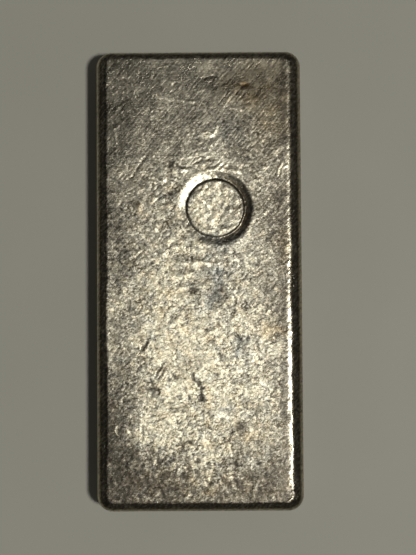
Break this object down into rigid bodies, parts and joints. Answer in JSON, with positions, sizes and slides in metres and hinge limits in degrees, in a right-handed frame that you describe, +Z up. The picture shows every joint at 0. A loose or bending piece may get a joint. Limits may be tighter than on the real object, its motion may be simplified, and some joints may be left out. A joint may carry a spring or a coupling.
{
  "type": "metal ingot",
  "caption": "Long flat cast silver bar with drafted sides, a rounded brim and a plain round ring struck into its free top face.",
  "frame": {"origin": "centre of the flat mould side that the bar lies on", "axes": "+X across the bar, +Y along the bar towards the end with the struck ring, +Z up out of the free face"},
  "size_m": [0.0522, 0.117, 0.0162],
  "materials": {
    "silver": "as-cast fine silver with light warm tarnish"
  },
  "bodies": {
    "root": {"ingot": "silver"}
  },
  "joints": []
}
